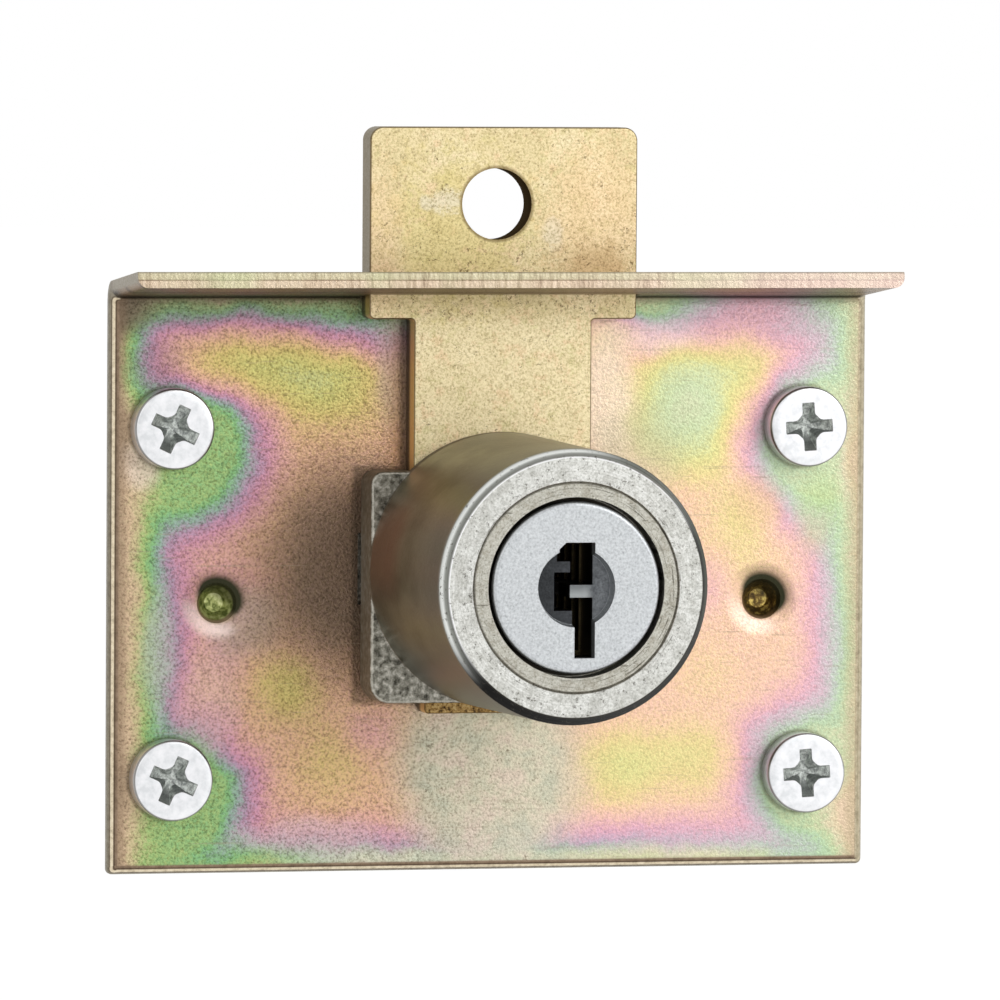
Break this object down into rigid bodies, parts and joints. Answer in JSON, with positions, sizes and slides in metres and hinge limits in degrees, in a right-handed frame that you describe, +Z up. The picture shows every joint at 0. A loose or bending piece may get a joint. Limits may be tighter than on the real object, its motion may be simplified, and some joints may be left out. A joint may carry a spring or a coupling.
{
  "type": "cabinet lock",
  "caption": "Cabinet rim lock: a cylinder plug turns a pin that slides a flat bolt up through the slotted flange of its bent front plate.",
  "frame": {"origin": "centre of the pattern of fixing screws, on the back face of the front plate", "axes": "+X right and +Z up as seen from the key side, along the bolt's travel; +Y to the back, away from the key"},
  "size_m": [0.058, 0.0353, 0.0554],
  "materials": {
    "plate": "1.2 mm steel sheet, yellow iridescent chromated zinc",
    "bolt": "2.5 mm steel stamping, golden chromated zinc",
    "housing": "zinc die casting, satin, face turned bright",
    "sleeve": "zinc die casting, bare",
    "plug": "zinc die casting, fine satin",
    "cam": "zinc die casting, bare",
    "pin": "turned steel",
    "wafer": "stamped brass",
    "spring": "drawn spring wire",
    "screw": "bright zinc-plated steel"
  },
  "bodies": {
    "case": {"front_plate": "plate", "cylinder_housing": "housing", "core_sleeve": "sleeve", "screw_top_left": "screw", "screw_top_right": "screw", "screw_bottom_left": "screw", "screw_bottom_right": "screw"},
    "key_plug": {"plug": "plug", "drive_cam": "cam", "drive_pin": "pin", "cam_screw": "pin", "wafer_spring_1": "spring", "wafer_spring_2": "spring", "wafer_spring_3": "spring", "wafer_spring_4": "spring", "wafer_spring_5": "spring", "wafer_spring_6": "spring"},
    "sliding_bolt": {"bolt": "bolt"},
    "wafer_plate_1": {"wafer_1": "wafer"},
    "wafer_plate_2": {"wafer_2": "wafer"},
    "wafer_plate_3": {"wafer_3": "wafer"},
    "wafer_plate_4": {"wafer_4": "wafer"},
    "wafer_plate_5": {"wafer_5": "wafer"},
    "wafer_plate_6": {"wafer_6": "wafer"}
  },
  "joints": [
    {"name": "plug_turn", "type": "hinge", "parent": "case", "child": "key_plug", "pos_m": [0.00045, 0, 0.00245], "axis": [0, 1, 0], "range_deg": [0, 180]},
    {"name": "bolt_slide", "type": "slide", "parent": "case", "child": "sliding_bolt", "axis": [0, 0, 1], "range_m": [-0.011, 0]},
    {"name": "wafer_1_slide", "type": "slide", "parent": "key_plug", "child": "wafer_plate_1", "axis": [0, 0, 1], "range_m": [-0.001, 0.001], "stiffness_N_per_m": 50, "deforming": ["wafer_spring_1"]},
    {"name": "wafer_2_slide", "type": "slide", "parent": "key_plug", "child": "wafer_plate_2", "axis": [0, 0, 1], "range_m": [-0.001, 0.001], "stiffness_N_per_m": 50, "deforming": ["wafer_spring_2"]},
    {"name": "wafer_3_slide", "type": "slide", "parent": "key_plug", "child": "wafer_plate_3", "axis": [0, 0, 1], "range_m": [-0.001, 0.001], "stiffness_N_per_m": 50, "deforming": ["wafer_spring_3"]},
    {"name": "wafer_4_slide", "type": "slide", "parent": "key_plug", "child": "wafer_plate_4", "axis": [0, 0, 1], "range_m": [-0.001, 0.001], "stiffness_N_per_m": 50, "deforming": ["wafer_spring_4"]},
    {"name": "wafer_5_slide", "type": "slide", "parent": "key_plug", "child": "wafer_plate_5", "axis": [0, 0, 1], "range_m": [-0.001, 0.001], "stiffness_N_per_m": 50, "deforming": ["wafer_spring_5"]},
    {"name": "wafer_6_slide", "type": "slide", "parent": "key_plug", "child": "wafer_plate_6", "axis": [0, 0, 1], "range_m": [-0.001, 0.001], "stiffness_N_per_m": 50, "deforming": ["wafer_spring_6"]}
  ],
  "couplings": [
    {"joint": "bolt_slide", "follows": "plug_turn", "m_per_rad": -0.0035014}
  ]
}
